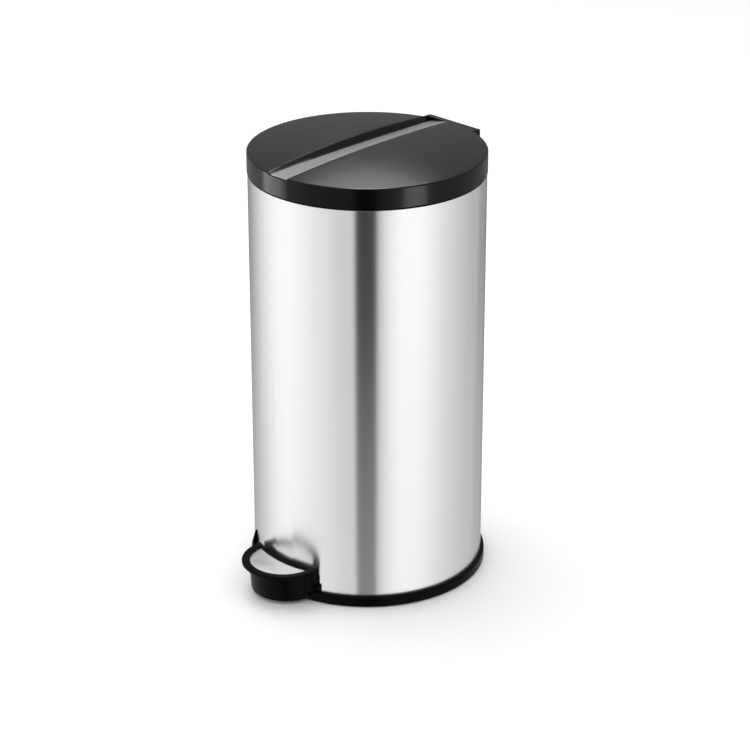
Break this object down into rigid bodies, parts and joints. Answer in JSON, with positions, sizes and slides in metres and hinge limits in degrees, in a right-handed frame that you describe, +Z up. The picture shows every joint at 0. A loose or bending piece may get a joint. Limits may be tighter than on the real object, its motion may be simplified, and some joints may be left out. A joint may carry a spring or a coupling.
{
  "type": "pedal trash can",
  "caption": "Round pedal bin: brushed steel shell, domed black lid with a skewed channel and silver strip, D-shaped pedal, lift-out bucket and a push-rod linkage.",
  "frame": {"origin": "on the shell's axis, at the floor, in the plane of the rubber foot ring", "axes": "+Z up along the shell's axis, -Y to the front where the pedal is, +Y to the back where the lid's hinge is, +X to the right of someone facing the pedal"},
  "size_m": [0.309, 0.3626, 0.5699],
  "materials": {
    "brushed_shell": "satin, brushed round the shell",
    "black_plastic": "fine-grained, low sheen",
    "inner_plastic": "moulded, matt",
    "black_lid": "satin black lacquer",
    "silver_strip": "satin anodised, brushed lengthways",
    "tread_steel": "brushed",
    "zinc_steel": "bright zinc plate",
    "pin_steel": "ground and polished",
    "bucket_plastic": "moulded, matt",
    "nylon": "natural nylon",
    "foot_rubber": "matt rubber"
  },
  "bodies": {
    "bin": {"outer_shell": "brushed_shell", "base_ring": "black_plastic", "pedal_slot_trim": "black_plastic", "rim_collar": "black_plastic", "hinge_bracket": "black_plastic", "base_pan": "inner_plastic", "base_screws": "zinc_steel", "pivot_bracket": "zinc_steel", "bracket_screws": "zinc_steel", "hinge_screws": "zinc_steel", "bucket_bail": "zinc_steel", "hinge_pin": "pin_steel", "inner_bucket": "bucket_plastic", "pivot_bushes": "nylon", "rod_guide_lower": "nylon", "rod_guide_upper": "nylon", "bail_grip": "nylon", "foot_ring": "foot_rubber"},
    "pedal": {"pedal_lever": "zinc_steel", "lever_shoe": "nylon", "pivot_pin": "pin_steel", "pin_clips": "zinc_steel", "pedal_frame": "black_plastic", "pedal_plate": "tread_steel", "pedal_screws": "zinc_steel"},
    "rod": {"push_rod": "zinc_steel", "rod_foot": "nylon"},
    "lid": {"lid_shell": "black_lid", "lid_strip": "silver_strip", "lid_liner": "inner_plastic", "liner_screws": "zinc_steel", "lid_lever": "zinc_steel", "lever_screws": "zinc_steel", "lid_buffers": "foot_rubber"}
  },
  "joints": [
    {"name": "lid_hinge", "type": "hinge", "parent": "bin", "child": "lid", "pos_m": [0, 0.1535, 0.543], "axis": [-1, 0, 0], "range_deg": [0, 80]},
    {"name": "rod_slide", "type": "slide", "parent": "bin", "child": "rod", "axis": [0, 0, 1], "range_m": [0, 0.01543]},
    {"name": "pedal_pivot", "type": "hinge", "parent": "bin", "child": "pedal", "pos_m": [0, -0.11, 0.027], "axis": [1, 0, 0], "range_deg": [0, 3.48]}
  ],
  "couplings": [
    {"joint": "rod_slide", "follows": "lid_hinge", "m_per_rad": 0.011049},
    {"joint": "pedal_pivot", "follows": "lid_hinge", "ratio": 0.043447}
  ]
}
